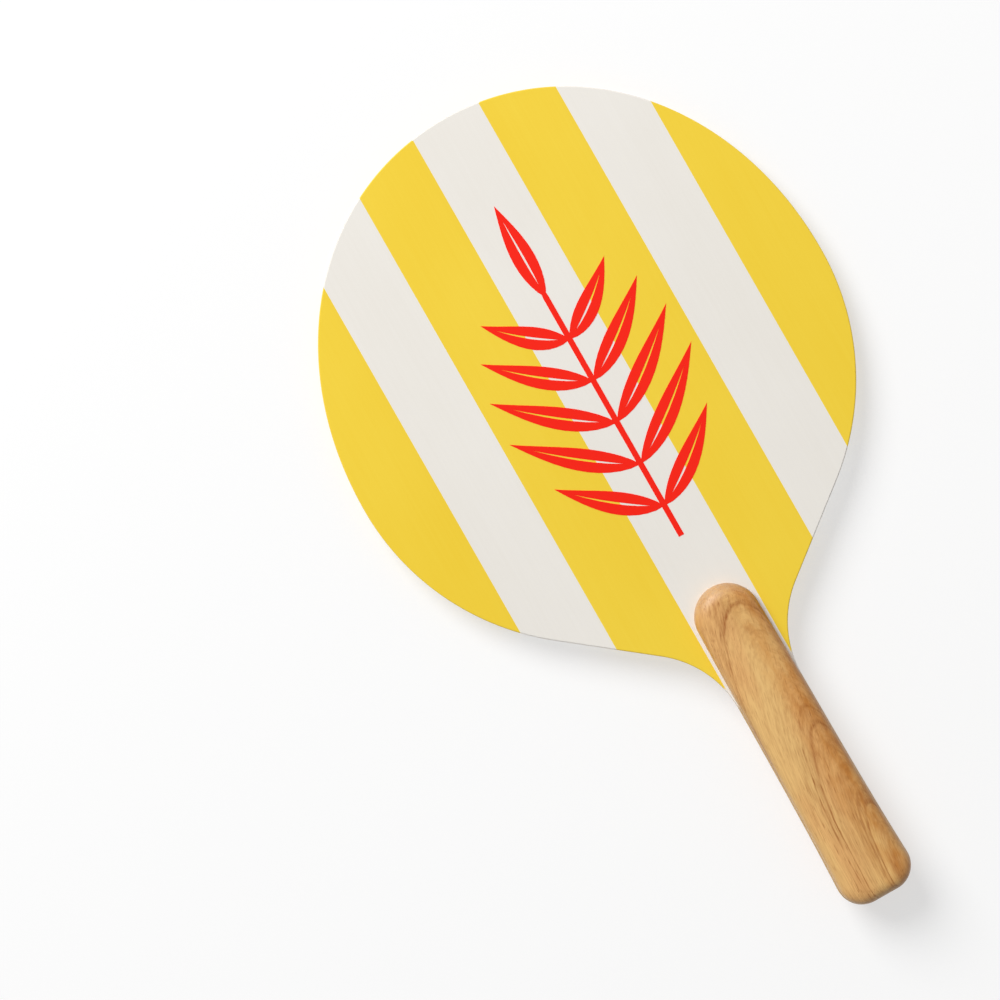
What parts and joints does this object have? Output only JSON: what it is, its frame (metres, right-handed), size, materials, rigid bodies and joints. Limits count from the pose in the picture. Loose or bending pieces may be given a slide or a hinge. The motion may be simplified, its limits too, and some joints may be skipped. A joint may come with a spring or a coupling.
{
  "type": "frescobol racket",
  "caption": "Wooden beach paddle: a broad oval plywood blade with wide painted stripes and a leaf print, and a thick rounded wooden handle.",
  "frame": {"origin": "centre of the bounding box in plan, at the lowest face of the back handle scale", "axes": "+Z leaves the front face of the blade, +Y runs along the handle from the butt to the tip of the head, +X to the right seen from the front; X = 0 is the plane of symmetry"},
  "size_m": [0.23, 0.39, 0.0242],
  "materials": {
    "face_veneer": "sanded light plywood under clear lacquer",
    "crossband": "end grain of a darker ply, clear lacquer",
    "handle_wood": "warm mid-brown wood with dark pores, satin varnish",
    "white_paint": "smooth warm white paint coat, satin",
    "yellow_paint": "smooth sun yellow paint coat, satin",
    "red_ink": "opaque bright red screen print, satin"
  },
  "bodies": {
    "root": {"blade_core": "face_veneer", "front_crossband": "crossband", "back_crossband": "crossband", "front_face_veneer": "face_veneer", "back_face_veneer": "face_veneer", "front_middle_stripe": "white_paint", "front_left_stripe_1": "yellow_paint", "front_right_stripe_1": "yellow_paint", "front_left_stripe_2": "white_paint", "front_right_stripe_2": "white_paint", "front_left_stripe_3": "yellow_paint", "front_right_stripe_3": "yellow_paint", "front_leaf_print": "red_ink", "front_handle_scale": "handle_wood", "back_middle_stripe": "white_paint", "back_left_stripe_1": "yellow_paint", "back_right_stripe_1": "yellow_paint", "back_left_stripe_2": "white_paint", "back_right_stripe_2": "white_paint", "back_left_stripe_3": "yellow_paint", "back_right_stripe_3": "yellow_paint", "back_leaf_print": "red_ink", "back_handle_scale": "handle_wood"}
  },
  "joints": []
}
